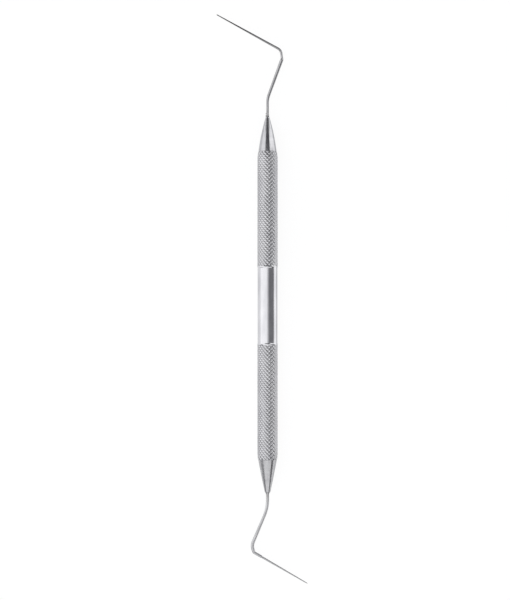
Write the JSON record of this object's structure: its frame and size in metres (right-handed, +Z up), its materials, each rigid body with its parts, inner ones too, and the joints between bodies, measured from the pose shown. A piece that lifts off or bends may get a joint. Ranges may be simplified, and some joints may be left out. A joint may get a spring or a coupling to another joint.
{
  "type": "dental explorer",
  "caption": "Slim double-ended root-canal explorer: a knurled round steel handle with a turned nose and a long, bent, needle-fine wire tip at each end.",
  "frame": {"origin": "on the surface that the instrument lies on, under the middle of the handle's length and axis", "axes": "+Y along the handle towards end A, the end with the longer tip; the bends of both wires lie in the level XY plane at the handle's axis, with end A's tip leaning to -X and end B's to +X; +Z up"},
  "size_m": [0.0266, 0.1664, 0.006],
  "materials": {
    "knurled_steel": "diamond knurled grips with a plain turned band between them",
    "polished_steel": "polished along fine turning marks",
    "satin_steel": "satin turned",
    "hardened_wire": "ground and polished lengthwise, hardened",
    "braze": "dark flowed silver braze"
  },
  "bodies": {
    "root": {"handle_tube": "knurled_steel", "nose_cone_a": "polished_steel", "nose_cone_b": "satin_steel", "working_end_a": "hardened_wire", "working_end_b": "hardened_wire", "braze_ring_a": "braze", "braze_ring_b": "braze"}
  },
  "joints": []
}
